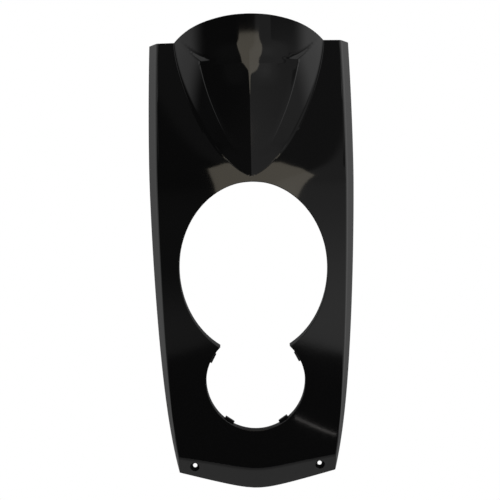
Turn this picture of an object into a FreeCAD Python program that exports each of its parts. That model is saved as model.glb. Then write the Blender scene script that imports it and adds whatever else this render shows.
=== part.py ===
import FreeCAD, Part
import math
import os
import Sketcher

# One-piece front panel of a small scooter, in millimetres.
# X is to the right, Z is up and the front of the panel faces -Y.
# The origin is midway between the two screw seats in the bottom lip.

doc = FreeCAD.newDocument("front_fairing")
sheet = doc.addObject("Spreadsheet::Sheet", "sizes")

SIZES = [
    ("wall", 2.5),                 # moulded wall thickness
    ("edge_round", 3),             # outer radius along the flanges and the lip
    ("ridge_round", 2.6),          # outer radius along the beak ridge
    ("overrun", 10),               # how far a cutting tool runs past the face it leaves
    ("seat_depth", 28),            # screw seat behind the beak ridge
    # tray: the main face and its side flanges
    ("tray_bottom", -45),          # lowest section, below the trimmed lip
    ("wing_top", 524.6),           # level cut at the top of the wings
    ("half_width", 127.5),         # widest half width, at the rear edge
    ("widest_height", 440),
    ("side_bow_radius", 4545),     # bow of the sides seen from the front
    ("foot_tuck", 7.5),            # extra draw-in near the foot
    ("foot_length", 448),
    ("face_bow_radius", 4167),     # upright bow of the face, about its foremost height
    ("face_bow_height", 250),
    ("lean_slope", 0.1),          # backward lean of the upper face, half of its slope
    ("lean_blend", 15),
    ("crown", 6),                  # side edge of the face behind its middle
    ("flange_depth", 20),
    ("flange_reach", 10.8),        # flange width seen from the front, at the top
    ("flange_narrowing", 6.6),     # how much narrower it is at the foot
    # bottom lip
    ("lip_height", -6.4),          # lip crease on the centre line
    ("lip_rise", 0.2),           # rise of the crease per unit of half width
    ("lip_angle", 45),
    ("lip_plane", 4.9),            # depth of the face where the crease is set out
    # beak
    ("tip_height", 353),
    ("beak_edge", 497),            # level front edge of the beak roof
    ("beak_half", 92.3),           # half width of the beak at the wing top
    ("beak_fullness", 0.645),
    ("crease_half", 61),           # half width of the crease at the beak edge
    ("ridge_slope", 0.25),         # slope of the two ridge faces at the beak edge
    ("leaf_run", 1.3),             # leaf length over the length that shows
    ("leaf_bulge", 0.03),          # rise of the leaf arc over its chord
    ("roof_angle", 62),
    # collar
    ("collar_front", 1.6),
    ("collar_half", 93.4),
    ("collar_side", 45),           # depth where the collar arc ends
    ("collar_rear", 50),
    ("collar_point", 4.5),         # slope of the collar beside its ridge line
    ("collar_sink", 1),            # how far the collar starts below the beak edge
    ("collar_top", 551.2),
    ("collar_fall", 27.5),           # backward fall of the top edge
    # openings
    ("lamp_height", 237.2),
    ("lamp_half_width", 90.3),
    ("lamp_half_height", 107),
    ("round_height", 99.9),
    ("round_radius", 60.2),
    ("opening_tilt", 18),          # openings run upward going back
    ("opening_plane", -6),         # depth where the openings are set out
    ("rim_rear", 9),               # flat rear edge of both rims
    ("tab_length", 12),
    ("tab_inset", 3),
    ("tab_depth", 3),
    ("tab_low_angle", 34),         # from straight down
    ("tab_high_angle", 28),        # above level
    # screw seats
    ("screw_half_spacing", 77.3),
    ("screw_hole_radius", 2.65),
    ("cup_radius", 5.75),
    ("screw_drop", 3.2),           # screws below the level that the heights are measured from
]
for row, (word, number) in enumerate(SIZES, start=1):
    sheet.set("A%d" % row, word)
    sheet.set("B%d" % row, str(number))
    sheet.setAlias("B%d" % row, word)
doc.recompute()


def size(word):
    """Expression text that reads one driving size."""
    return "sizes." + word


def face_depth(z):
    """Depth of the face on the centre line at height z, nil at the beak tip.

    It is an upright bow plus a backward lean that sets in smoothly at the tip.
    """
    terms = []
    for level in (z, size("tip_height")):
        bow = "(%s - sizes.face_bow_height)^2 / (2 * sizes.face_bow_radius)" % level
        over = "(%s - sizes.tip_height)" % level
        lean = "sizes.lean_slope * (%s + sqrt(%s^2 + sizes.lean_blend^2))" % (over, over)
        terms.append("(%s + %s)" % (bow, lean))
    return "(%s - %s)" % tuple(terms)


def outer_half(z):
    """Half width of the rear edge at height z."""
    drop = "(sizes.widest_height - %s)" % z
    bow = "%s^2 / (2 * sizes.side_bow_radius)" % drop
    tuck = "sizes.foot_tuck * (abs(%s) / sizes.foot_length)^8" % drop
    return "(sizes.half_width - %s - %s)" % (bow, tuck)


def flange_width(z):
    """Width of the flange seen from the front at height z."""
    down = "(abs(sizes.wing_top - %s) / sizes.wing_top)" % z
    return "(sizes.flange_reach - sizes.flange_narrowing * %s^2.5)" % down


def level_sketch(name, z):
    sketch = doc.addObject("Sketcher::SketchObject", name)
    sketch.setExpression("Placement.Base.z", z)
    return sketch


def front_sketch(name, depth):
    sketch = doc.addObject("Sketcher::SketchObject", name)
    turn = FreeCAD.Rotation(FreeCAD.Vector(1, 0, 0), 90)
    sketch.Placement = FreeCAD.Placement(FreeCAD.Vector(0, 0, 0), turn)
    sketch.setExpression("Placement.Base.y", depth)
    return sketch


def fix_point(sketch, geo, pos, across, along, start):
    """Hold one point of a sketch at two expressions, starting near the given place."""
    for kind, text, value in (("DistanceX", across, start[0]), ("DistanceY", along, start[1])):
        number = sketch.addConstraint(Sketcher.Constraint(kind, -1, 1, geo, pos, value))
        sketch.setExpression("Constraints[%d]" % number, text)


def closed_outline(sketch, corners, arcs):
    """Closed outline through corners (x text, y text, rough x, rough y), held by expressions.

    arcs maps an edge number to (radius text, rough radius); such an edge bulges to the
    right of its direction, other edges are straight.
    """
    count = len(corners)
    rough = [FreeCAD.Vector(c[2], c[3], 0) for c in corners]
    for i in range(count):
        a = rough[i]
        b = rough[(i + 1) % count]
        if i in arcs:
            chord = b - a
            radius = max(arcs[i][1], 0.51 * chord.Length)
            rise = math.sqrt(radius ** 2 - (chord.Length / 2) ** 2)
            side = FreeCAD.Vector(-chord.y, chord.x, 0).normalize()
            centre = (a + b) * 0.5 + side * rise
            circle = Part.Circle(centre, FreeCAD.Vector(0, 0, 1), radius)
            first = math.atan2(a.y - centre.y, a.x - centre.x)
            last = math.atan2(b.y - centre.y, b.x - centre.x)
            sketch.addGeometry(Part.ArcOfCircle(circle, first, last), False)
        else:
            sketch.addGeometry(Part.LineSegment(a, b), False)
    for i in range(count):
        sketch.addConstraint(Sketcher.Constraint("Coincident", i, 2, (i + 1) % count, 1))
    for i, (across, along, x, y) in enumerate(corners):
        fix_point(sketch, i, 1, across, along, (x, y))
    for i, (text, radius) in arcs.items():
        number = sketch.addConstraint(Sketcher.Constraint("Radius", i, radius))
        sketch.setExpression("Constraints[%d]" % number, text)


def loft(name, sections):
    feature = doc.addObject("Part::Loft", name)
    feature.Sections = sections
    feature.Solid = True
    feature.Ruled = False
    return feature


def cut(name, base, tool):
    feature = doc.addObject("Part::Cut", name)
    feature.Base = base
    feature.Tool = tool
    return feature


def fuse(name, shapes):
    feature = doc.addObject("Part::MultiFuse", name)
    feature.Shapes = shapes
    return feature


def on_face(edge, face):
    return any(edge.isSame(other) for other in face.Edges)


def rounded(name, base, edges, word):
    """Round the listed edges of a solid with one radius from the sheet."""
    feature = doc.addObject("Part::Fillet", name)
    feature.Base = base
    radius = float(sheet.get(word))
    feature.Edges = [
        (i, radius, radius)
        for i, edge in enumerate(base.Shape.Edges, start=1)
        if any(edge.isSame(other) for other in edges)
    ]
    return feature


def slant_extrusion(name, sketch, across, up, forward, rear):
    """Extrude a sketch along the depth and height directions given as expressions."""
    feature = doc.addObject("Part::Extrusion", name)
    feature.Base = sketch
    feature.DirMode = "Custom"
    feature.Dir = FreeCAD.Vector(0, 1, 0)
    feature.setExpression("Dir.y", across)
    feature.setExpression("Dir.z", up)
    feature.setExpression("LengthFwd", forward)
    feature.setExpression("LengthRev", rear)
    feature.Solid = True
    return feature


def tray_section(name, z, inner):
    """One level section of the tray, of the outside or of the hollow behind the wall."""
    sketch = level_sketch(name, z)
    edge = "(%s - %s)" % (outer_half(z), flange_width(z))
    bend = "atan(sizes.flange_depth / %s)" % flange_width(z)
    front = "(%s + sizes.crown)" % face_depth(z)
    rear = "(%s + sizes.flange_depth)" % front
    far = outer_half(z)
    if inner:
        far = "(%s - sizes.wall / sin(%s) + sizes.overrun / tan(%s))" % (far, bend, bend)
        edge = "(%s - sizes.wall * tan(%s / 2))" % (edge, bend)
        front = "(%s + sizes.wall)" % front
        rear = "(%s + sizes.overrun)" % rear
    radius = "((%s^2 + sizes.crown^2) / (2 * sizes.crown))" % edge
    corners = [
        ("-" + edge, front, -110, 10),
        (edge, front, 110, 10),
        (far, rear, 120, 30),
        ("-" + far, rear, -120, 30),
    ]
    closed_outline(sketch, corners, {0: (radius, 1010)})
    return sketch


TRAY_SHARES = (0, 0.05, 0.11, 0.2, 0.32, 0.44, 0.55, 0.64, 0.72, 0.8, 0.88, 0.95, 1)
TRAY_LEVELS = [
    "(sizes.tray_bottom + %s * (sizes.wing_top - sizes.tray_bottom))" % share
    for share in TRAY_SHARES
]


def lip_tool(name, lift):
    """Everything below the bottom lip: the space under a chevron, run back and down."""
    sketch = front_sketch(name + "_outline", size("lip_plane"))
    side = "(sizes.half_width + sizes.overrun)"
    low = "(sizes.lip_height + %s)" % lift
    high = "(%s + sizes.lip_rise * %s)" % (low, side)
    floor = "(sizes.tray_bottom - sizes.half_width)"
    corners = [
        ("-" + side, high, -134, 20),
        ("-" + side, floor, -134, -170),
        (side, floor, 134, -170),
        (side, high, 134, 20),
        ("0", low, 0, -4),
    ]
    closed_outline(sketch, corners, {})
    run = "(4 * sizes.flange_depth / cos(sizes.lip_angle))"
    return slant_extrusion(name, sketch, "cos(sizes.lip_angle)", "-sin(sizes.lip_angle)", run, run)


tray_block = loft("tray_block", [
    tray_section("tray_outer_%d" % i, z, False)
    for i, z in enumerate(TRAY_LEVELS)
])
tray_sharp = cut("tray_sharp", tray_block, lip_tool("lip_trim", "0"))
doc.recompute()
# Every edge is rounded but those round the open rear and the level top.
open_faces = [
    max(tray_sharp.Shape.Faces, key=lambda face: face.CenterOfMass.z),
    max(tray_sharp.Shape.Faces, key=lambda face: face.CenterOfMass.y if face.Area > 90000 else -1000),
]
tray_outer = rounded("tray_outer", tray_sharp, [
    edge for edge in tray_sharp.Shape.Edges
    if not any(on_face(edge, face) for face in open_faces)
], "edge_round")
tray_space = loft("tray_space", [
    tray_section("tray_inner_%d" % i, z, True)
    for i, z in enumerate(TRAY_LEVELS)
])
lip_inner_trim = lip_tool("lip_inner_trim", "sizes.wall / cos(sizes.lip_angle)")
tray_hollow = cut("tray_hollow", tray_space, lip_inner_trim)


def beak_section(name, z, x, leaf, rough):
    """One level section of the beak: ridge, two ridge faces, two leaves and a plain back.

    x is the half width at the crease, leaf the (x, y) end of the leaf.
    """
    sketch = level_sketch(name, z)
    share = "((%s - sizes.tip_height) / (sizes.beak_edge - sizes.tip_height))" % z
    slope = "(sizes.ridge_slope * (0.4 + 0.6 * %s))" % share
    depth = "(%s * %s)" % (x, slope)
    rear = "(%s + 3 * sizes.wall)" % leaf[1]
    chord = "sqrt((%s - %s)^2 + (%s - %s)^2)" % (leaf[0], x, leaf[1], depth)
    radius = "(%s * (0.25 + sizes.leaf_bulge^2) / (2 * sizes.leaf_bulge))" % chord
    rough_x, rough_leaf_x, rough_leaf_y, rough_rear = rough
    rough_depth = 0.2 * rough_x
    rough_chord = math.hypot(rough_leaf_x - rough_x, rough_leaf_y - rough_depth)
    corners = [
        ("-" + leaf[0], leaf[1], -rough_leaf_x, rough_leaf_y),
        ("-" + x, depth, -rough_x, rough_depth),
        ("0", "0", 0, 0),
        (x, depth, rough_x, rough_depth),
        (leaf[0], leaf[1], rough_leaf_x, rough_leaf_y),
        (leaf[0], rear, rough_leaf_x, rough_rear),
        ("-" + leaf[0], rear, -rough_leaf_x, rough_rear),
    ]
    closed_outline(sketch, corners, {0: (radius, 4.2 * rough_chord), 3: (radius, 4.2 * rough_chord)})
    return sketch


def beak_level(name, z, rough):
    """A beak section whose widths follow the outline and crease curves."""
    share = "((%s - sizes.tip_height) / (sizes.beak_edge - sizes.tip_height))" % z
    crease = "(sizes.crease_half * (1.6 * %s - 0.6 * %s^2))" % (share, share)
    up = "(abs(sizes.wing_top - %s) / (sizes.wing_top - sizes.tip_height))" % z
    edge = "(sizes.beak_half * (1 - %s^1.5)^sizes.beak_fullness)" % up
    slope = "(sizes.ridge_slope * (0.4 + 0.6 * %s))" % share
    face = "(%s + sizes.crown * (%s / sizes.half_width)^2)" % (face_depth(z), edge)
    leaf_x = "(%s + sizes.leaf_run * (%s - %s))" % (crease, edge, crease)
    leaf_y = "(%s * %s + sizes.leaf_run * (%s - %s * %s))" % (crease, slope, face, crease, slope)
    return beak_section(name, z, crease, (leaf_x, leaf_y), rough)


def beak_inner(section):
    feature = doc.addObject("Part::Offset2D", section.Name + "_inner")
    feature.Source = section
    feature.setExpression("Value", "-sizes.wall")
    feature.Join = "Intersection"
    feature.Fill = False
    return feature


BEAK_LEVELS = [
    (0.14, (14, 40, 7, 29)),
    (0.30, (27, 55, 20, 40)),
    (0.52, (41, 75, 35, 55)),
    (0.76, (53, 88, 55, 72)),
]
beak_sections = [
    beak_section(
        "beak_buried", "(sizes.tip_height - 2 * sizes.crown)", "(sizes.wall + 1)",
        ("(3 * sizes.crown)", "sizes.crown"), (3.5, 18, 6, 22),
    )
]
for i, (share, rough) in enumerate(BEAK_LEVELS):
    level = "(sizes.tip_height + %s * (sizes.beak_edge - sizes.tip_height))" % share
    beak_sections.append(beak_level("beak_%d" % i, level, rough))
beak_sections.append(beak_level("beak_edge_level", size("beak_edge"), (61, 98, 72, 82)))
beak_sections.append(beak_level("beak_top_level", size("wing_top"), (69, 101, 90, 98)))


def roof_tool(name, lift):
    """Everything above the beak roof: the space before the ridge faces, run back and up."""
    sketch = level_sketch(name + "_outline", "(sizes.beak_edge + %s)" % lift)
    side = "(sizes.half_width + sizes.overrun)"
    corners = [
        ("0", "0", 0, 0),
        ("-" + side, "(sizes.ridge_slope * %s)" % side, -134, 33),
        ("-" + side, "-" + side, -134, -134),
        (side, "-" + side, 134, -134),
        (side, "(sizes.ridge_slope * %s)" % side, 134, 33),
    ]
    closed_outline(sketch, corners, {})
    run = "(2 * sizes.half_width)"
    return slant_extrusion(name, sketch, "cos(sizes.roof_angle)", "sin(sizes.roof_angle)", run, "0")


beak_sharp = loft("beak_sharp", beak_sections)
doc.recompute()
# The ridge is the foremost of the edges that run upward.
running = [edge for edge in beak_sharp.Shape.Edges if edge.BoundBox.ZLength > 50]
ridge = min(running, key=lambda edge: edge.CenterOfMass.y)
beak_block = rounded("beak_block", beak_sharp, [ridge], "ridge_round")
beak_outer = cut("beak_outer", beak_block, roof_tool("roof_trim", "0"))
beak_space = loft("beak_space", [beak_inner(section) for section in beak_sections])
roof_inner_trim = roof_tool("roof_inner_trim", "-sizes.wall / cos(sizes.roof_angle)")
beak_hollow = cut("beak_hollow", beak_space, roof_inner_trim)


def collar_section(name, z, inset, rear):
    """One level section of the collar: two arcs that meet at a faint ridge, and plain sides."""
    sketch = level_sketch(name, z)
    half = "(sizes.collar_half - %s)" % inset
    front = "(sizes.collar_front + %s)" % inset
    side = size("collar_side")
    chord = "sqrt(%s^2 + (%s - %s)^2)" % (half, side, front)
    turn = "(atan((%s - %s) / %s) - sizes.collar_point * 1 deg)" % (side, front, half)
    radius = "(%s / (2 * sin(%s)))" % (chord, turn)
    corners = [
        ("-" + half, side, -94, 83),
        ("0", front, 0, 2),
        (half, side, 94, 83),
        (half, rear, 94, 90),
        ("-" + half, rear, -94, 90),
    ]
    closed_outline(sketch, corners, {0: (radius, 101), 1: (radius, 101)})
    return sketch


def collar_body(name, inset, rear):
    top = "(sizes.collar_top + 2 * sizes.overrun)"
    return loft(name, [
        collar_section(name + "_foot", "(sizes.beak_edge - sizes.collar_sink)", inset, rear),
        collar_section(name + "_top", top, inset, rear),
    ])


collar_block = collar_body("collar_block", "0", size("collar_rear"))
collar_hollow = collar_body("collar_hollow", size("wall"), "(sizes.collar_rear + sizes.overrun)")
top_trim = doc.addObject("Part::Box", "top_trim")
top_trim.setExpression("Length", "4 * sizes.half_width")
top_trim.setExpression("Width", "4 * sizes.half_width")
top_trim.setExpression("Height", "sizes.half_width")
top_trim.Placement.Rotation = FreeCAD.Rotation(FreeCAD.Vector(1, 0, 0), 12)
top_trim.setExpression("Placement.Rotation.Angle", "-sizes.collar_fall")
top_trim.setExpression("Placement.Base.x", "-2 * sizes.half_width")
top_trim.setExpression("Placement.Base.y", "sizes.collar_front - sizes.half_width * cos(sizes.collar_fall)")
top_trim.setExpression("Placement.Base.z", "sizes.collar_top + sizes.half_width * sin(sizes.collar_fall)")
collar_outer = cut("collar_outer", collar_block, top_trim)


def opening(name, grow, reach):
    """Lamp oval and round opening, run along the slanted opening direction to a flat rear end."""
    shapes = []
    lamp = front_sketch(name + "_lamp_outline", size("opening_plane"))
    middle = FreeCAD.Vector(0, 241, 0)
    major = FreeCAD.Vector(0, 347, 0)
    minor = FreeCAD.Vector(-90, 241, 0)
    lamp.addGeometry(Part.Ellipse(major, minor, middle), False)
    lamp.exposeInternalGeometry(0)
    lamp.addConstraint(Sketcher.Constraint("PointOnObject", 0, 3, -2))
    lamp.addConstraint(Sketcher.Constraint("Vertical", 1))
    for kind, geo, text, value in (
        ("DistanceY", 0, size("lamp_height"), 241),
        ("Distance", 1, "2 * (sizes.lamp_half_height + %s)" % grow, 212),
        ("Distance", 2, "2 * (sizes.lamp_half_width + %s)" % grow, 180),
    ):
        if kind == "DistanceY":
            number = lamp.addConstraint(Sketcher.Constraint(kind, -1, 1, geo, 3, value))
        else:
            number = lamp.addConstraint(Sketcher.Constraint(kind, geo, value))
        lamp.setExpression("Constraints[%d]" % number, text)
    ring = front_sketch(name + "_round_outline", size("opening_plane"))
    ring.addGeometry(Part.Circle(FreeCAD.Vector(0, 106, 0), FreeCAD.Vector(0, 0, 1), 60), False)
    ring.addConstraint(Sketcher.Constraint("PointOnObject", 0, 3, -2))
    number = ring.addConstraint(Sketcher.Constraint("DistanceY", -1, 1, 0, 3, 106))
    ring.setExpression("Constraints[%d]" % number, size("round_height"))
    number = ring.addConstraint(Sketcher.Constraint("Radius", 0, 60))
    ring.setExpression("Constraints[%d]" % number, "sizes.round_radius + %s" % grow)
    for sketch, word in ((lamp, "_lamp"), (ring, "_round")):
        shapes.append(slant_extrusion(
            name + word, sketch, "cos(sizes.opening_tilt)", "sin(sizes.opening_tilt)",
            "(%s - sizes.opening_plane) / cos(sizes.opening_tilt)" % reach, "2 * sizes.flange_depth",
        ))
    return shapes


def screw_cylinder(name, side, radius, front, rear):
    feature = doc.addObject("Part::Cylinder", name)
    turn = FreeCAD.Rotation(FreeCAD.Vector(1, 0, 0), -90)
    feature.Placement = FreeCAD.Placement(FreeCAD.Vector(0, 0, 0), turn)
    feature.setExpression("Radius", radius)
    feature.setExpression("Height", "%s - %s" % (rear, front))
    feature.setExpression("Placement.Base.x", "%d * sizes.screw_half_spacing" % side)
    feature.setExpression("Placement.Base.y", front)
    feature.setExpression("Placement.Base.z", "-sizes.screw_drop")
    return feature


# The hollow leaves room for the rims round the openings and the walls of the screw cups.
kept = opening("rim", size("wall"), size("rim_rear"))
pockets = []
for side, word in ((-1, "left"), (1, "right")):
    kept.append(screw_cylinder(
        word + "_cup_wall", side, "sizes.cup_radius + sizes.wall",
        "-sizes.seat_depth", "sizes.seat_depth + sizes.wall",
    ))
    pockets.append(screw_cylinder(
        word + "_cup", side, size("cup_radius"), "-sizes.seat_depth", size("seat_depth"),
    ))
    pockets.append(screw_cylinder(
        word + "_screw_hole", side, size("screw_hole_radius"),
        "-sizes.seat_depth", "sizes.seat_depth + sizes.wall + sizes.overrun",
    ))
kept_material = fuse("kept_material", kept)
rear_space = fuse("rear_space", [tray_hollow, beak_hollow, collar_hollow])
hollow = cut("hollow", rear_space, kept_material)

skin = fuse("skin", [tray_outer, beak_outer, collar_outer])
shell = cut("shell", skin, hollow)
through = fuse("through", opening("through", "0", "(sizes.rim_rear + sizes.flange_depth)") + pockets)
pierced = cut("pierced", shell, through)


def clip_tab(name, angle, rough_angle):
    """Small plate at the rear of the round rim, reaching into the opening."""
    depth = "(sizes.rim_rear - sizes.tab_depth)"
    sketch = front_sketch(name + "_outline", depth)
    centre = "(sizes.round_height + (%s - sizes.opening_plane) * tan(sizes.opening_tilt))" % depth
    inside = "(sizes.round_radius - sizes.tab_inset)"
    outside = "(sizes.round_radius + sizes.wall / 2)"
    half = "(sizes.tab_length / 2)"
    turn = math.radians(rough_angle)
    corners = []
    places = ((inside, -1, 57), (outside, -1, 61), (outside, 1, 61), (inside, 1, 57))
    for radius, side, rough_radius in places:
        across = "(%s * cos(%s) - %d * %s * sin(%s))" % (radius, angle, side, half, angle)
        along = "(%s + %s * sin(%s) + %d * %s * cos(%s))" % (centre, radius, angle, side, half, angle)
        x = rough_radius * math.cos(turn) - side * 6 * math.sin(turn)
        y = 109 + rough_radius * math.sin(turn) + side * 6 * math.cos(turn)
        corners.append((across, along, x, y))
    closed_outline(sketch, corners, {})
    run = "(sizes.tab_depth / cos(sizes.opening_tilt))"
    return slant_extrusion(name, sketch, "cos(sizes.opening_tilt)", "sin(sizes.opening_tilt)", run, "0")


fairing = fuse("fairing", [
    pierced,
    clip_tab("tab_low_left", "(270 - sizes.tab_low_angle)", 236),
    clip_tab("tab_low_right", "(270 + sizes.tab_low_angle)", 304),
    clip_tab("tab_high_right", size("tab_high_angle"), 28),
    clip_tab("tab_high_left", "(180 - sizes.tab_high_angle)", 152),
])
fairing.Label = "front_fairing"
fairing.setExpression("Placement.Base.y", "-sizes.seat_depth")
fairing.setExpression("Placement.Base.z", "sizes.screw_drop")
doc.recompute()

for item in doc.Objects:
    bad = [word for word in item.State if word in ("Invalid", "Error")]
    if bad:
        raise RuntimeError("%s: %s" % (item.Name, item.State))
    shape = getattr(item, "Shape", None)
    if shape is not None and (shape.isNull() or not shape.isValid()):
        raise RuntimeError("%s has no valid shape" % item.Name)
if len(fairing.Shape.Solids) != 1:
    raise RuntimeError("the fairing is %d solids, not one" % len(fairing.Shape.Solids))

os.makedirs("parts", exist_ok=True)
fairing.Shape.exportStep("parts/front_fairing.step")
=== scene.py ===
import math

import bpy
import numpy as np
from mathutils import Matrix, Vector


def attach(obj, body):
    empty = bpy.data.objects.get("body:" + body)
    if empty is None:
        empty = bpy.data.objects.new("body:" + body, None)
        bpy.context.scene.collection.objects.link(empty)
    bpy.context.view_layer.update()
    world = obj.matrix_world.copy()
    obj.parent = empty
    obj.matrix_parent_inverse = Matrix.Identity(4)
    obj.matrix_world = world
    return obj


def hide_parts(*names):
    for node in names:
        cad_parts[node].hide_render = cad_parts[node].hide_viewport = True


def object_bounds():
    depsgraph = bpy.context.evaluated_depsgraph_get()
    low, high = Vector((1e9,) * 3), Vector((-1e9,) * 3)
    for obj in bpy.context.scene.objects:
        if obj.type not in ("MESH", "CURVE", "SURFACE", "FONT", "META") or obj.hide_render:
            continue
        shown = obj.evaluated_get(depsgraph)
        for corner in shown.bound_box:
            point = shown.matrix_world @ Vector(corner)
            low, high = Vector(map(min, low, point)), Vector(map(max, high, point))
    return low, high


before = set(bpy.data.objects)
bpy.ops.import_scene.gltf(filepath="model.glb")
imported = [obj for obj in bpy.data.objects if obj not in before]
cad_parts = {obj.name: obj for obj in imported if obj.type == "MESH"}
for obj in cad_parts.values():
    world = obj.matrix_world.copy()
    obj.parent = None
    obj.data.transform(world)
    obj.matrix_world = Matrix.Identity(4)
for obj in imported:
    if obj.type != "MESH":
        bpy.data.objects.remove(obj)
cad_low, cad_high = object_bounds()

# Sizes in millimetres, in a frame whose Y starts at the beak ridge.
# X is to the right, Z is up, and larger Y is further back.
# The part's own frame has its origin on the screw seats, at depth SEAT and level -DROP.
SEAT = 28.0
DROP = 3.2
WALL = 2.5

# Face, outline and flanges.
HALF = 127.5
WIDEST = 440.0
WAIST = 9090.0
FOOT_IN = 7.5
FOOT_SPAN = 448.0
FACE_LEVEL = 250.0
FACE_BOW = 8334.0
FACE_FRONT = 2.773
FACE_HALF = 128.4
TURN_BACK = 0.1
TURN_ROUND = 15.0
CROWN = 6.0
FLANGE_TOP = 10.8
FLANGE_LOSS = 6.6
FLANGE_DEPTH = 20.0
FLANGE_ROUND = 3.7

# Beak: ridge faces, creases, leaves and roof.
WING_TOP = 524.6
TIP = 353.0
BEAK_EDGE = 497.0
BEAK_RISE = BEAK_EDGE - TIP
RIDGE_SLOPE = 0.25
RIDGE_LEAST = 0.62
CREASE_HALF = 61.0
CREASE_STEP = 0.55
RIM_HALF = 92.3
LEAF_BULGE = 0.12
ROOF = math.tan(math.radians(62))
MERGE_RISE = 35.0
MERGE_HALF = 22.0
TIP_RISE = 24.0
TIP_FADE = 20.0

# Collar.
COLLAR_HALF = 93.4
COLLAR_FRONT = 1.6
COLLAR_SIDE = 45.0
COLLAR_TOP = 551.2
COLLAR_START = math.radians(2.5)
COLLAR_FADE = 18.0
COLLAR_FULL = 1.4
COLLAR_SPREAD = 36.0
SHOULDER_FULL = 1.8
SHOULDER_START = 11.0
SHOULDER_RISE = 34.0
SHOULDER_SPREAD = 24.0

# Bottom lip.
LIP = math.tan(math.radians(45))
LIP_LOW = -5.4
LIP_GRADE = 0.26
LIP_BEND = 25.0
LIP_PLANE = 4.9
LIP_ROUND = 1.7

# Openings, whose outlines are set out on one plane and slanted.
LAMP_HEIGHT = 237.2
LAMP_HALF_WIDTH = 90.3
LAMP_HALF_HEIGHT = 107.0
ROUND_HEIGHT = 99.9
ROUND_RADIUS = 60.2
TILT = math.tan(math.radians(18))
OPENING_PLANE = -6.0
RIM_REAR = 9.0
EDGE = 0.9
TAB_ANGLES = (-56.0, 28.0)
TAB_DEPTH = 3.0
TAB_HALF_HEIGHT = 2.1
TAB_HALF_LENGTH = 6.0
TAB_LAP = 0.9

# Screw cups.
SCREW_X = 77.3
SCREW_Z = -DROP
CUP = 5.75
CUP_EDGE = 0.9
CUP_ROUND = 0.4
HOLE = 2.65
HOLE_EDGE = 0.3
WINDOW_RISE = 10.0
WINDOW_HALF = 10.5

FAR = 400.0
BACK, UP = np.array([0.0, 1.0, 0.0]), np.array([0.0, 0.0, 1.0])


def smooth_max(a, b, k):
    """Larger of a and b, rounded over a band k wide by a parabola."""
    h = np.maximum(k - np.abs(a - b), 0) / k
    return np.maximum(a, b) + h * h * k / 4


def smooth_min(a, b, k):
    """Smaller of a and b, rounded in the same way."""
    return -smooth_max(-a, -b, k)


def ease(t):
    """Smooth step from 0 to 1 by the cubic 3t^2 - 2t^3."""
    t = np.clip(t, 0, 1)
    return t * t * (3 - 2 * t)


def face_depth(z):
    """Centre line of the face: a parabola plus a hyperbola that turns it back."""
    over = z - TIP
    turn = TURN_BACK * (over + np.sqrt(over ** 2 + TURN_ROUND ** 2))
    return (z - FACE_LEVEL) ** 2 / FACE_BOW + turn - FACE_FRONT


def outer_half(z):
    """Half width of the rear edge: a parabola and an eighth power near the foot."""
    drop = WIDEST - z
    return HALF - drop ** 2 / WAIST - FOOT_IN * (np.abs(drop) / FOOT_SPAN) ** 8


def flange_width(z):
    """Width of the flange from the front, narrower by a power of the distance down."""
    return FLANGE_TOP - FLANGE_LOSS * (np.abs(WING_TOP - z) / WING_TOP) ** 2.5


def crease_half(z):
    """Half width of the beak crease, a parabola in height."""
    share = np.maximum((z - TIP) / BEAK_RISE, 0)
    return CREASE_HALF * (1.6 * share - 0.6 * share ** 2)


def beak_half(z):
    """Half width of the beak where it meets the face, a rounded power curve in height."""
    up = np.clip((WING_TOP - z) / (WING_TOP - TIP), 0, 1)
    return RIM_HALF * (1 - up ** 1.5) ** 0.645


def collar_arc(x):
    """Front of the collar: a circular arc that leaves the ridge at a small slope."""
    back = COLLAR_SIDE - COLLAR_FRONT
    turn = math.atan2(back, COLLAR_HALF) - COLLAR_START
    radius = math.hypot(COLLAR_HALF, back) / (2 * math.sin(turn))
    reach = np.minimum(np.abs(x), COLLAR_HALF) / radius
    sine = np.clip(reach + math.sin(COLLAR_START), -1, 1)
    return COLLAR_FRONT + radius * (math.cos(COLLAR_START) - np.sqrt(1 - sine ** 2))


def collar_depth(x, z):
    """The collar's arc, made fuller at the centre by bell curves in x.

    Higher up it is also fuller beside the centre, which flattens the front, and the ridge
    fades out there.
    """
    bell = np.exp(-(x / SHOULDER_SPREAD) ** 2)
    fade = ease((z - BEAK_EDGE) / COLLAR_FADE) * math.tan(COLLAR_START)
    shoulder = SHOULDER_FULL * ease((z - BEAK_EDGE + SHOULDER_START) / SHOULDER_RISE) * (1 - bell)
    full = (COLLAR_FULL + shoulder) * np.exp(-(x / COLLAR_SPREAD) ** 4)
    return collar_arc(x) - full - fade * np.abs(x) * bell


def opening_gap(x, z, y):
    """Distance outside the two openings, whose centres rise with depth y."""
    up = (y - OPENING_PLANE) * TILT
    a, b = LAMP_HALF_WIDTH, LAMP_HALF_HEIGHT
    u, v = x / a, (z - LAMP_HEIGHT - up) / b
    ring = np.sqrt(u * u + v * v) + 1e-9
    slope = np.sqrt((u / a) ** 2 + (v / b) ** 2) / ring + 1e-9
    lamp = (ring - 1) / slope
    low = np.hypot(x, z - ROUND_HEIGHT - up) - ROUND_RADIUS
    return np.minimum(lamp, low)


def lip_level(x):
    """Height of the lip line: a hyperbola that rises to both sides."""
    return LIP_LOW + LIP_GRADE * (np.sqrt(x * x + LIP_BEND ** 2) - LIP_BEND)


def lip_reach(z):
    """Half width at which the lip runs out at the rear plane, the lip line turned round."""
    level = z + (face_depth(z) + CROWN + FLANGE_DEPTH - LIP_PLANE) * LIP
    side = LIP_BEND + (level - LIP_LOW) / LIP_GRADE
    return np.sqrt(np.maximum(side ** 2 - LIP_BEND ** 2, 0)) * (level > LIP_LOW)


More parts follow.
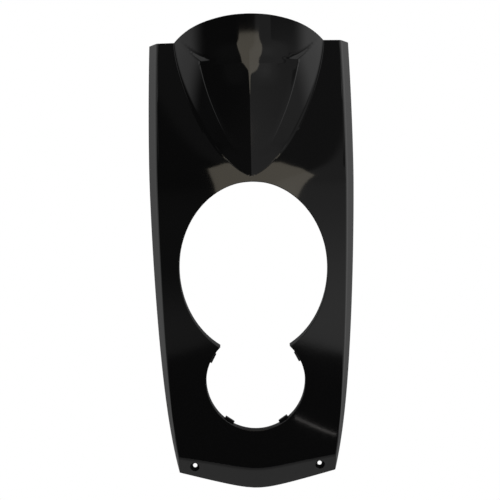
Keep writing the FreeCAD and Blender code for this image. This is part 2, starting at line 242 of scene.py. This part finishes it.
def tray_depth(x, z):
    """The rearmost of the face, the flange and the lip, with rounded meetings."""
    centre, width = face_depth(z), flange_width(z)
    edge = outer_half(z) - width
    face = centre + CROWN * (x / edge) ** 2
    flange = centre + CROWN + (np.abs(x) - edge) * FLANGE_DEPTH / width
    lip = LIP_PLANE + (lip_level(x) - z) / LIP
    return smooth_max(smooth_max(face, flange, FLANGE_ROUND), lip, LIP_ROUND)


def ridge_depth(x, z):
    """The two faces beside the ridge: a V, slightly rounded, more so near the top."""
    share = np.clip((z - TIP) / BEAK_RISE, 0, 1.3)
    slope = RIDGE_SLOPE * smooth_max(0.4 + 0.6 * share, RIDGE_LEAST, 0.1)
    round_off = 0.05 + 0.6 * ease((share - 0.6) / 0.25)
    return slope, slope * (np.sqrt(x * x + round_off ** 2) + 0.2)


def beak_depth(x, z):
    """The rearmost of the ridge faces, the leaves beside them and the roof.

    A leaf runs straight from the crease to the beak's rim, less a small bulge, and starts a
    little behind the crease, which leaves a fine step along it. Near the top the ridge passes
    into the collar's arc.
    """
    share = (z - TIP) / BEAK_RISE
    slope, ridge = ridge_depth(x, z)
    crease, rim = crease_half(z), np.maximum(beak_half(z), 1.0)
    top = crease * slope
    bottom = face_depth(z) + CROWN * (rim / FACE_HALF) ** 2
    span = np.maximum(rim - crease, 0.5)
    off = np.abs(x) - crease
    along = off / span
    bulge = LEAF_BULGE * span * np.maximum(along, 0) * (1 - along)
    leaf = top + (bottom - top) * along - bulge
    leaf = leaf + 90.0 * np.maximum(along - 1.12, 0)
    step = CREASE_STEP * ease((share - 0.2) / 0.3) * ease(off / 1.1)
    leaf = leaf + step * np.clip(1 - along, 0, 1)
    roof = RIDGE_SLOPE * np.abs(x) + (z - BEAK_EDGE) / ROOF
    merge = ease((z - BEAK_EDGE + MERGE_RISE) / MERGE_RISE)
    merge = merge * (1 - ease((np.abs(x) - MERGE_HALF) / MERGE_HALF))
    ridge = ridge * (1 - merge) + collar_depth(x, z) * merge
    beak = smooth_max(smooth_max(ridge, leaf, 1.0), roof, 0.8)
    return np.where(z > TIP - 3, beak, FAR)


def depth(x, z):
    """Front surface y = f(x, z): the foremost of the tray, the beak and the collar.

    At the beak's tip the ridge faces run down to the rim and leave a fine step there. Beside
    an opening the surface turns in by a quarter circle.
    """
    blend = 0.5 + 1.2 * np.clip((z - TIP) / BEAK_RISE * 2, 0, 1)
    front = smooth_min(tray_depth(x, z), beak_depth(x, z), blend)
    tip = (z > TIP) * (1 - ease((z - TIP - TIP_RISE) / TIP_FADE))
    tip = tip * (1 - ease((np.abs(x) - beak_half(z) + 0.8) / 0.8))
    front = front + (ridge_depth(x, z)[1] - front) * tip
    collar = collar_depth(x, z) + 9.0 * np.maximum(np.abs(x) - COLLAR_HALF, 0)
    blend = 0.1 + 1.3 * ease((np.abs(x) - 30.0) / 30.0)
    front = smooth_min(front, np.where(z > BEAK_EDGE - 6, collar, FAR), blend)
    gap = np.clip(opening_gap(x, z, front), 0, EDGE)
    return front + EDGE - np.sqrt(np.maximum(EDGE ** 2 - (EDGE - gap) ** 2, 0))


def normals(surface, x, z):
    """Unit normals towards the front from central differences."""
    step = 0.02
    dx = (surface(x + step, z) - surface(x - step, z)) / (2 * step)
    dz = (surface(x, z + step) - surface(x, z - step)) / (2 * step)
    n = np.stack([dx, -np.ones_like(dx), dz], axis=-1)
    return n / np.linalg.norm(n, axis=-1, keepdims=True)


def rear_depth(x, z):
    """Depth of the skin behind the wall, measured straight back."""
    return depth(x, z) - WALL / normals(depth, x, z)[..., 1]


class Pile:
    """Collects vertices, normals, quads and an inside mark for one mesh."""

    def __init__(self):
        self.points, self.normals, self.quads, self.inside = [], [], [], []
        self.count = 0

    def grid(self, points, normal, inside=0.0, keep=None):
        """Quads over a grid, wound so that they face along the given normals."""
        rows, cols = points.shape[:2]
        index = np.arange(rows * cols).reshape(rows, cols)
        corners = [index[:-1, :-1], index[:-1, 1:], index[1:, 1:], index[1:, :-1]]
        quads = np.stack(corners, axis=-1)
        quads = (quads if keep is None else quads[keep]).reshape(-1, 4)
        flat, n = points.reshape(-1, 3), normal.reshape(-1, 3)
        a, b, c, d = (flat[quads[:, i]] for i in range(4))
        turn = np.cross(c - a, d - b)
        wrong = np.einsum("ij,ij->i", turn, n[quads].sum(1)) < 0
        quads[wrong] = quads[wrong][:, ::-1]
        self.points.append(flat)
        self.normals.append(n)
        self.quads.append(quads[np.linalg.norm(turn, axis=1) > 1e-7] + self.count)
        self.inside.append(np.full(len(flat), inside))
        self.count += len(flat)

    def strip(self, points, outward, inside=0.0):
        """A grid with smooth normals of its own, on the side that outward points to."""
        n = np.cross(np.gradient(points, axis=0), np.gradient(points, axis=1))
        n /= np.linalg.norm(n, axis=-1, keepdims=True) + 1e-12
        back = np.einsum("ijk,ijk->ij", n, np.broadcast_to(outward, n.shape)) < 0
        n[back] *= -1
        self.grid(points, n, inside)


def cosine(n):
    """n + 1 values from 0 to 1, close together at both ends."""
    return (1 - np.cos(np.linspace(0, math.pi, n + 1))) / 2


def between(low, high, shares):
    """Columns between two edges that vary from row to row."""
    return low[:, None] + (high - low)[:, None] * shares[None, :]


def boundary(grow):
    """Right half of the joined openings: the oval from its top, then the circle to its foot."""
    a, b, r = LAMP_HALF_WIDTH + grow, LAMP_HALF_HEIGHT + grow, ROUND_RADIUS + grow
    t = np.linspace(0, math.pi, 4001)
    free = np.hypot(a * np.sin(t), LAMP_HEIGHT + b * np.cos(t) - ROUND_HEIGHT) >= r
    meet = t[np.argmax(~free) - 1]
    other = np.hypot(r * np.sin(t) / a, (ROUND_HEIGHT + r * np.cos(t) - LAMP_HEIGHT) / b) >= 1
    begin = t[np.argmax(other)]
    t1 = np.linspace(0, meet, 131)
    t2 = np.linspace(begin, math.pi, 71)
    oval = np.stack([a * np.sin(t1), LAMP_HEIGHT + b * np.cos(t1)], axis=-1)
    circle = np.stack([r * np.sin(t2), ROUND_HEIGHT + r * np.cos(t2)], axis=-1)
    return oval, circle


def slanted(curve, y):
    """An outline of the setting-out plane moved along the slanted direction to depth y."""
    y = y + 0 * curve[:, 0]
    return np.stack([curve[:, 0], y, curve[:, 1] + (y - OPENING_PLANE) * TILT], axis=-1)


def on_front(curve, back=0.0):
    """The outline moved in that direction to the front surface, or a little behind it."""
    z = curve[:, 1]
    for _ in range(6):
        y = depth(curve[:, 0], z) + back
        z = curve[:, 1] + (y - OPENING_PLANE) * TILT
    return slanted(curve, y)


pile = Pile()
oval, circle = boundary(0.0)
oval_front, circle_front = on_front(oval), on_front(circle)
hole_low, hole_high = circle_front[-1, 2], oval_front[0, 2]

# Level rows of the main grid, close together at the lip, the openings and the beak edge.
trial = np.linspace(-40, 0, 8001)
low_end = trial[np.argmax(lip_reach(trial) > 0)]
corner = trial[np.argmax(lip_reach(trial) > outer_half(trial))]
rows = np.unique(np.round(np.concatenate([
    np.linspace(low_end + 0.1, corner, 26),
    np.linspace(corner, 17, 38),
    np.linspace(17, hole_low - 1.2, 16),
    hole_low - np.linspace(1.2, 0.02, 9),
    circle_front[::-1, 2],
    oval_front[::-1, 2],
    hole_high + np.linspace(0.02, 1.2, 9),
    np.linspace(hole_high + 1.2, BEAK_EDGE - 2, 120),
    np.linspace(BEAK_EDGE - 2, BEAK_EDGE + 2, 15),
    np.linspace(BEAK_EDGE + 2, WING_TOP, 40),
]), 4))
rows = rows[np.concatenate([[True], np.diff(rows) > 0.004])]

# Columns from the centre or the opening to the rear edge: ridge face, crease, leaf, face and
# flange.
hole = np.concatenate([circle_front[::-1], oval_front[::-1]])
beside = (rows > hole_low) & (rows < hole_high)
x_in = np.where(beside, np.interp(rows, hole[:, 2], hole[:, 0]), 0.0)
x_out = np.minimum(outer_half(rows), lip_reach(rows))
x_edge = np.minimum(outer_half(rows) - flange_width(rows), 0.96 * x_out)
room = x_edge - x_in
line = np.minimum(np.maximum(crease_half(rows), x_in + 2.0), x_in + 0.5 * room)
step_in = np.maximum(line - 0.7, x_in + 0.3 * (line - x_in))
step_out = np.minimum(line + 1.7, x_in + 0.6 * room)
rim = np.maximum(beak_half(rows) * (rows > TIP), step_out + 1.5)
rim = np.minimum(rim, x_in + 0.9 * room)
gx = np.concatenate([
    between(x_in, step_in, np.linspace(0, 1, 13)[:-1] ** 2),
    between(step_in, step_out, np.linspace(0, 1, 11)[:-1]),
    between(step_out, rim, cosine(14)[:-1]),
    between(rim, x_edge, cosine(22)[:-1]),
    between(x_edge, x_out, np.linspace(0, 1, 9) ** 1.5),
], axis=1)
gz = np.repeat(rows[:, None], gx.shape[1], axis=1)
outer = np.stack([gx, depth(gx, gz), gz], axis=-1)
# Normals on the ridge line are taken beside it, which keeps it sharp up to where it fades.
sharp = np.where(gz > TIP, 0.35 * (1 - ease((gz - 448.0) / 25.0)), 0.0)
outer_n = normals(depth, np.maximum(gx, sharp), gz)


def behind(points, n):
    """Points moved in by the wall, level with the front higher up; none passes the rear plane."""
    z = points[..., 2]
    level = n * np.array([1.0, 1.0, 0.0])
    level /= (level ** 2).sum(-1, keepdims=True)
    weight = np.clip((z - 100) / 100, 0, 1)[..., None]
    moved = points - WALL * (n * (1 - weight) + level * weight)
    over = np.maximum(moved[..., 1] - face_depth(z) - CROWN - FLANGE_DEPTH, 0)
    tangent = n[..., 1:2] * n - BACK
    moved = moved + tangent * (over / np.maximum(1 - n[..., 1] ** 2, 0.05))[..., None]
    moved[..., 0] = np.where(points[..., 0] < 1e-6, 0.0, np.maximum(moved[..., 0], 0.0))
    return moved


# Front skin, rear skin on every second row and column, and the edges that join them.
# A window is left in both skins about the screw cup.
inner = behind(outer, outer_n)
r0, r1 = (int(np.searchsorted(rows, SCREW_Z + s * WINDOW_RISE)) // 2 * 2 for s in (-1, 1))
near = np.abs(gx[r0:r1 + 1] - SCREW_X) < WINDOW_HALF
c0 = int(np.argmax(near.any(0))) // 2 * 2 - 2
c1 = (gx.shape[1] - int(np.argmax(near.any(0)[::-1]))) // 2 * 2 + 2
c1 = min(c1, (gx.shape[1] - 9) // 2 * 2)
keep = np.ones((gx.shape[0] - 1, gx.shape[1] - 1), bool)
keep[r0:r1, c0:c1] = False
pile.grid(outer, outer_n, keep=keep)
pick_r = np.unique(np.append(np.arange(0, gx.shape[0], 2), gx.shape[0] - 1))
pick_c = np.unique(np.append(np.arange(0, gx.shape[1], 2), gx.shape[1] - 1))
keep = np.ones((len(pick_r) - 1, len(pick_c) - 1), bool)
keep[r0 // 2:r1 // 2, c0 // 2:c1 // 2] = False
pick = np.ix_(pick_r, pick_c)
pile.grid(inner[pick], -outer_n[pick], inside=1.0, keep=keep)
pile.strip(np.stack([outer[:, -1], inner[:, -1]]), BACK)
wing = gx[-1] > COLLAR_HALF - 1.5
pile.strip(np.stack([outer[-1, wing], inner[-1, wing]]), UP)


def around(values):
    """The four sides of the window in turn, ending where they start."""
    return np.concatenate([
        values[r0, c0:c1],
        values[r0:r1, c1],
        values[r1, c1:c0:-1],
        values[r1:r0:-1, c0],
        values[r0, c0:c0 + 1],
    ])


def window_fill(side, radius):
    """Rings of x and z that pass from the four sides of the window to a circle."""
    way = np.arctan2(side[:, 2] - SCREW_Z, side[:, 0] - SCREW_X)
    share = np.linspace(0, 1, 9)[:, None]
    x = side[:, 0] + (SCREW_X + radius * np.cos(way) - side[:, 0]) * share
    z = side[:, 2] + (SCREW_Z + radius * np.sin(way) - side[:, 2]) * share
    return x, z


fx, fz = window_fill(around(outer), CUP + CUP_EDGE)
pile.grid(np.stack([fx, depth(fx, fz), fz], axis=-1), normals(depth, fx, fz))
side = around(inner)[::2]
fx, fz = window_fill(side, CUP + WALL - 0.3)
filled = np.stack([fx, rear_depth(fx, fz), fz], axis=-1)
filled[0] = side
pile.grid(filled, -normals(depth, fx, fz), inside=1.0)

# Screw cup: rings about the screw axis with a given radius and depth.
turns = np.linspace(0, 2 * math.pi, 73)
spoke = np.stack([np.cos(turns), 0 * turns, np.sin(turns)], axis=-1)


def ring(radius, y):
    """One ring about the screw axis; y is a number or a list of depths."""
    axis = np.stack([0 * turns + SCREW_X, y + 0 * turns, 0 * turns + SCREW_Z], axis=-1)
    return spoke * radius + axis


def ring_front(radius):
    """Depth of the front skin along a ring."""
    return depth(SCREW_X + radius * np.cos(turns), SCREW_Z + radius * np.sin(turns))


def turned_in(radius, y, size, angles):
    """Rings of a rounded edge that turns from the front into a bore, by a quarter circle."""
    return [
        ring(radius + size * (1 - math.sin(t)), y + size * (1 - math.cos(t))) for t in angles
    ]


mouth = ring_front(CUP + CUP_EDGE)
bend = np.linspace(0, math.pi / 2, 5)
cup = turned_in(CUP, mouth, CUP_EDGE, bend)
cup += [ring(CUP, mouth + 1.0 + (SEAT - 1.4 - mouth) * t) for t in (0.0, 0.5, 1.0)]
cup += [
    ring(CUP - CUP_ROUND * (1 - math.cos(t)), SEAT - CUP_ROUND + CUP_ROUND * math.sin(t))
    for t in bend[1:]
]
cup += [ring(4.2, SEAT), ring(HOLE + HOLE_EDGE, SEAT)]
cup += turned_in(HOLE, SEAT, HOLE_EDGE, bend[1:])
cup += [ring(HOLE, SEAT + WALL)]
pile.strip(np.stack(cup), -spoke - BACK)
boss_rear = SEAT + WALL
boss_root = np.minimum(ring_front(CUP + WALL) + 1.5, boss_rear - 0.6)
boss = [ring(HOLE, boss_rear), ring(CUP + WALL - 0.5, boss_rear)]
boss += [ring(CUP + WALL, boss_rear - 0.5), ring(CUP + WALL, boss_root)]
pile.strip(np.stack(boss), spoke + BACK, inside=1.0)

# Collar above the wings, up to a top edge that falls with depth, slightly faster further back.
cx = COLLAR_HALF * np.sin(np.linspace(0, math.pi / 2, 61))
fall = collar_arc(cx) - COLLAR_FRONT
top = np.maximum(COLLAR_TOP - 0.36 * fall - 0.0055 * fall ** 2, WING_TOP + 0.2)
lift = np.linspace(0, 1, 19)[:, None]
kx = np.repeat(cx[None, :], 19, axis=0)
kz = WING_TOP + (top - WING_TOP)[None, :] * lift
collar = np.stack([kx, collar_depth(kx, kz), kz], axis=-1)
collar_n = normals(collar_depth, np.minimum(kx, COLLAR_HALF - 0.1), kz)
pile.grid(collar, collar_n)
collar_in = collar - WALL * collar_n
collar_in[..., 0] = np.maximum(collar_in[..., 0], 0)
pile.grid(collar_in[::2], -collar_n[::2], inside=1.0)
pile.strip(np.stack([collar[-1], collar_in[-1]]), UP)
pile.strip(np.stack([collar[:, -1], collar_in[:, -1]]), BACK)
pile.strip(np.stack([collar[0, 50:], collar_in[0, 50:]]), -UP)

# Rims of the openings: a slanted wall, a flat rear edge and an outer wall.
middle = np.array([0.0, 0.0, 200.0])
flat = np.array([1.0, 0.0, 1.0])
for front, curve, grown in zip((oval_front, circle_front), (oval, circle), boundary(WALL)):
    start = front[:, 1]
    wall = np.stack([slanted(curve, start + (RIM_REAR - start) * t) for t in np.linspace(0, 1, 5)])
    pile.strip(wall, (middle - wall) * flat)
    rear_in, rear_out = slanted(curve, RIM_REAR), slanted(grown, RIM_REAR)
    pile.strip(np.stack([rear_in, rear_out]), BACK, inside=1.0)
    root = np.stack([rear_out, on_front(grown, 1.5)])
    pile.strip(root, (root - middle) * flat, inside=1.0)

# Clip tabs at the rear of the round rim: small blocks set square to the rim.
slant = np.array([0.0, 1.0, TILT])
base = slanted(np.array([[0.0, ROUND_HEIGHT]]), RIM_REAR - TAB_DEPTH)[0]
for angle in TAB_ANGLES:
    a = math.radians(angle)
    radial = np.array([math.cos(a), 0.0, math.sin(a)])
    along = np.array([-math.sin(a), 0.0, math.cos(a)])
    centre = base + radial * (ROUND_RADIUS - TAB_LAP) + slant * TAB_DEPTH / 2
    axes = (radial * TAB_HALF_HEIGHT, along * TAB_HALF_LENGTH, slant * TAB_DEPTH / 2)
    for one, two, three in ((0, 1, 2), (1, 2, 0), (2, 0, 1)):
        for sign in (-1.0, 1.0):
            u = axes[one] * np.array([-1.0, 1.0])[:, None, None]
            v = axes[two] * np.array([-1.0, 1.0])[None, :, None]
            pile.strip(centre + sign * axes[three] + u + v, sign * axes[three])

# The right half and its mirror image, in metres in the part's frame.
right = np.concatenate(pile.points)
right_n = np.concatenate(pile.normals)
right_quads = np.concatenate(pile.quads)
inside = np.concatenate(pile.inside)
mirror = np.array([-1.0, 1.0, 1.0])
points = np.concatenate([right, right * mirror])
normal = np.concatenate([right_n, right_n * mirror])
quads = np.concatenate([right_quads, right_quads[:, ::-1] + len(right)])
points = (points - np.array([0.0, SEAT, -DROP])) / 1000.0

# The skin is eased in slightly where it would pass the box of the solids.
skin_low, skin_high = points.min(0), points.max(0)
fit_low = np.maximum(skin_low, np.array(cad_low))
fit_high = np.minimum(skin_high, np.array(cad_high))
points = fit_low + (points - skin_low) * (fit_high - fit_low) / (skin_high - skin_low)

mesh = bpy.data.meshes.new("fairing")
mesh.from_pydata(points.tolist(), [], quads.tolist())
mark = mesh.attributes.new("inside", "FLOAT", "POINT")
mark.data.foreach_set("value", np.tile(inside, 2).astype(np.float32))
mesh.polygons.foreach_set("use_smooth", np.ones(len(mesh.polygons), bool))
mesh.normals_split_custom_set_from_vertices(normal.tolist())
fairing = bpy.data.objects.new("fairing", mesh)
bpy.context.scene.collection.objects.link(fairing)
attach(fairing, "root")
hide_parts("front_fairing")


class Socket:
    """A shader socket with arithmetic; other nodes are made with the node method."""

    def __init__(self, tree, socket):
        self.tree, self.socket = tree, socket

    def node(self, kind, settings, **inputs):
        """A new node; an input is named with _ for a blank, or by its number after a _."""
        made = self.tree.nodes.new(kind)
        for key, value in settings.items():
            setattr(made, key, value)
        for key, value in inputs.items():
            numbered = key[0] == "_" and key[1:].isdigit()
            key = int(key[1:]) if numbered else key.replace("_", " ")
            if isinstance(value, Socket):
                self.tree.links.new(value.socket, made.inputs[key])
            else:
                made.inputs[key].default_value = value
        return made

    def math(self, operation, a, b=0.0, c=0.0):
        """The result of one Math node."""
        made = self.node("ShaderNodeMath", {"operation": operation}, _0=a, _1=b, _2=c)
        return Socket(self.tree, made.outputs[0])

    def __add__(self, other):
        return self.math("ADD", self, other)

    def __radd__(self, other):
        return self.math("ADD", other, self)

    def __sub__(self, other):
        return self.math("SUBTRACT", self, other)

    def __rsub__(self, other):
        return self.math("SUBTRACT", other, self)

    def __mul__(self, other):
        return self.math("MULTIPLY", self, other)

    def __rmul__(self, other):
        return self.math("MULTIPLY", other, self)

    def __truediv__(self, other):
        return self.math("DIVIDE", self, other)

    def __rtruediv__(self, other):
        return self.math("DIVIDE", other, self)

    def step(self, low, high):
        """Smooth step from 0 at low to 1 at high."""
        settings = {"interpolation_type": "SMOOTHSTEP"}
        limits = {"From_Min": low, "From_Max": high}
        made = self.node("ShaderNodeMapRange", settings, Value=self, **limits)
        return Socket(self.tree, made.outputs[0])

    def noise(self, scale, detail=2.0):
        """Noise value at these coordinates, scale in waves per metre."""
        made = self.node("ShaderNodeTexNoise", {}, Vector=self, Scale=scale, Detail=detail)
        return Socket(self.tree, made.outputs[0])


def plastic():
    """Gloss black moulding with a faint dust film and orange peel, and a satin inside."""
    material = bpy.data.materials.new("gloss_black_plastic")
    material.use_nodes = True
    tree = material.node_tree
    shader = tree.nodes["Principled BSDF"]
    shader.inputs["IOR"].default_value = 1.5
    place = Socket(tree, tree.nodes.new("ShaderNodeTexCoord").outputs["Object"])
    mark = place.node("ShaderNodeAttribute", {"attribute_name": "inside"})
    mark = Socket(tree, mark.outputs["Fac"])
    dust = place.noise(900.0, 3.0).step(0.52, 0.85) * place.noise(14.0).step(0.35, 0.75)
    settings = {"data_type": "RGBA"}
    clean = (0.0018, 0.0018, 0.0020, 1)
    dusty = (0.0045, 0.0045, 0.0048, 1)
    satin = (0.012, 0.012, 0.0125, 1)
    film = place.node("ShaderNodeMix", settings, _0=dust, _6=clean, _7=dusty)
    film = Socket(tree, film.outputs[2])
    colour = place.node("ShaderNodeMix", settings, _0=mark, _6=film, _7=satin)
    tree.links.new(colour.outputs[2], shader.inputs["Base Color"])
    gloss = 0.045 + 0.03 * place.noise(30.0) + 0.05 * dust
    roughness = gloss * (1.0 - mark) + (0.42 + 0.1 * place.noise(300.0)) * mark
    tree.links.new(roughness.socket, shader.inputs["Roughness"])
    height = place.noise(260.0, 1.0) * (1.0 - mark) + 12.0 * place.noise(1600.0) * mark
    bump = place.node("ShaderNodeBump", {}, Strength=0.5, Distance=0.000006, Height=height)
    tree.links.new(bump.outputs[0], shader.inputs["Normal"])
    return material


mesh.materials.append(plastic())

# Plain pale floor below the part, out of the picture; the lip mirrors it.
FLOOR_Z = -0.32
floor_mesh = bpy.data.meshes.new("floor")
corners = [(-1.2, -0.7, FLOOR_Z), (1.2, -0.7, FLOOR_Z), (1.2, 1.1, FLOOR_Z), (-1.2, 1.1, FLOOR_Z)]
floor_mesh.from_pydata(corners, [], [(0, 1, 2, 3)])
floor = bpy.data.objects.new("floor", floor_mesh)
bpy.context.scene.collection.objects.link(floor)
floor_material = bpy.data.materials.new("pale_floor")
floor_material.use_nodes = True
floor_shader = floor_material.node_tree.nodes["Principled BSDF"]
floor_shader.inputs["Base Color"].default_value = (0.6, 0.6, 0.6, 1)
floor_shader.inputs["Roughness"].default_value = 0.8
floor_mesh.materials.append(floor_material)

# Studio as a function of the direction (dx, dy, dz): white to the rear and the sides, dim in
# front, as the gloss face mirrors it. Rays from the camera see plain white.
world = bpy.data.worlds.new("studio")
bpy.context.scene.world = world
world.use_nodes = True
tree = world.node_tree
background = tree.nodes["Background"]
split = tree.nodes.new("ShaderNodeSeparateXYZ")
tree.links.new(tree.nodes.new("ShaderNodeTexCoord").outputs["Generated"], split.inputs[0])
dx, dy, dz = (Socket(tree, split.outputs[i]) for i in range(3))
side = dx.math("ABSOLUTE", dx)

# Rear and sides: white, less so straight behind, overhead and at the far left.
rear = dy.step(-0.57, -0.24)
white = 0.92 - 0.54 * dy.step(0.44, 0.72) - 0.24 * dy.step(0.66, 0.94)
overhead = dz.step(0.40, 0.85) * (1.0 - side.step(0.25, 0.5))
far_left = (-1.0 * dx).step(0.6, 0.9)
white = white * (1.0 - 0.6 * overhead) * (1.0 - 0.3 * far_left)

# Front left: dark, a little lighter low down and above a slanted border.
low_band = 1.0 - dz.step(-0.11, -0.02)
left_side = 0.05 + 0.03 * (1.0 - dz.step(0.05, 0.20)) + 0.11 * low_band
left_side = left_side + 0.05 * (dz - 0.7 * side).step(0.375, 0.405)

# Front right: grey, and dim above a border with one course for the face, the ridge and the leaf.
LEAF_BORDER = 0.155
right_side = 0.36 + 0.27 * (1.0 - dz.step(-0.10, 0.10)) - 0.08 * dz.step(0.08, 0.25)
face_border = 0.06 + 1.63 * dx
ridge_border = 0.05 + 0.5 * dx
on_ridge = dx.step(0.28, 0.31)
on_leaf = dx.step(0.50, 0.62)
beak_border = ridge_border * (1.0 - on_leaf) + LEAF_BORDER * on_leaf
border = face_border * (1.0 - on_ridge) + beak_border * on_ridge
dim = 0.115 + 0.22 * on_ridge * dz.step(0.19, 0.25) * (1.0 - dz.step(0.36, 0.42))
right_side = right_side + (dim - right_side) * (dz - border).step(-0.01, 0.05)
across = dx.step(-0.03, 0.12)
ahead = left_side + (right_side - left_side) * across

# Front: dark below the lower border, and light high up for the beak's roof.
DARK_BELOW = 0.056
below = 1.0 - (dz + 0.18 * side).step(-0.108, -0.094)
ahead = ahead + (DARK_BELOW - ahead) * below
aside = side.step(0.30, 0.38) * (1.0 - side.step(0.50, 0.58))
ahead = ahead + 0.6 * (dz + 0.25 * aside).step(0.68, 0.80)

light = rear * white + (1.0 - rear) * ahead
ray = Socket(tree, tree.nodes.new("ShaderNodeLightPath").outputs["Is Camera Ray"])
strength = ray + (1.0 - ray) * light
background.inputs["Color"].default_value = (1, 1, 1, 1)
tree.links.new(strength.socket, background.inputs["Strength"])

# Warm panel in front, mirrored on the ridge and below the beak's tip. Its outline is the
# smallest of the distances to six slanted lines, in millimetres.
LIGHTS_Y = -0.508
FACING = Matrix.Rotation(math.radians(90), 4, "X")
panel_data = bpy.data.lights.new("warm_panel", "AREA")
panel_data.shape = "RECTANGLE"
panel_data.size = 0.310
panel_data.size_y = 0.262
panel_data.energy = 0.37
panel_data.color = (1.0, 0.91, 0.74)
panel_data.use_nodes = True
panel_tree = panel_data.node_tree
split = panel_tree.nodes.new("ShaderNodeSeparateXYZ")
geometry = panel_tree.nodes.new("ShaderNodeNewGeometry")
panel_tree.links.new(geometry.outputs["Position"], split.inputs[0])
px = Socket(panel_tree, split.outputs[0]) * 1000.0
pz = Socket(panel_tree, split.outputs[2]) * 1000.0 - DROP
within = px + 117.0 - 0.123 * (571.0 - pz)
for limit in (
    588.0 + 0.65 * (px + 117.0) - pz,
    617.0 - pz,
    617.0 - 0.76 * (px - 84.0) - pz,
    554.0 - 2.13 * (px - 150.0) - pz,
    173.0 - 0.379 * (505.0 - pz) - px,
):
    within = within.math("MINIMUM", within, limit)
emission = panel_tree.nodes["Emission"]
panel_tree.links.new(within.step(-2.0, 3.0).socket, emission.inputs["Strength"])
panel = bpy.data.objects.new("warm_panel", panel_data)
bpy.context.scene.collection.objects.link(panel)
panel.matrix_world = Matrix.Translation((0.0275, LIGHTS_Y, 0.4982)) @ FACING
panel.visible_camera = False

# A thin strip low in front, mirrored as a streak on the lower right of the face.
strip_data = bpy.data.lights.new("strip", "AREA")
strip_data.shape = "RECTANGLE"
strip_data.size = 0.145
strip_data.size_y = 0.0028
strip_data.energy = 0.0030
strip_data.color = (1.0, 0.96, 0.93)
strip = bpy.data.objects.new("strip", strip_data)
bpy.context.scene.collection.objects.link(strip)
lean = Matrix.Rotation(math.radians(-22), 4, "Z")
strip.matrix_world = Matrix.Translation((0.183, LIGHTS_Y, -0.084)) @ FACING @ lean
strip.visible_camera = False

# Camera straight in front, rolled a little as in the photograph.
CAMERA_AWAY = 1.45
CAMERA_ROLL = math.radians(-1.184)
camera_data = bpy.data.cameras.new("camera")
camera_data.lens = 85.7
camera_data.sensor_width = 36.0
camera_data.clip_start = 0.05
camera = bpy.data.objects.new("camera", camera_data)
bpy.context.scene.collection.objects.link(camera)
spot = Matrix.Translation((-0.0037, -CAMERA_AWAY - SEAT / 1000, 0.2628 + DROP / 1000))
camera.matrix_world = spot @ FACING @ Matrix.Rotation(CAMERA_ROLL, 4, "Z")
bpy.context.scene.camera = camera
bpy.context.scene.view_settings.view_transform = "Standard"

print("triangles", 2 * len(quads))
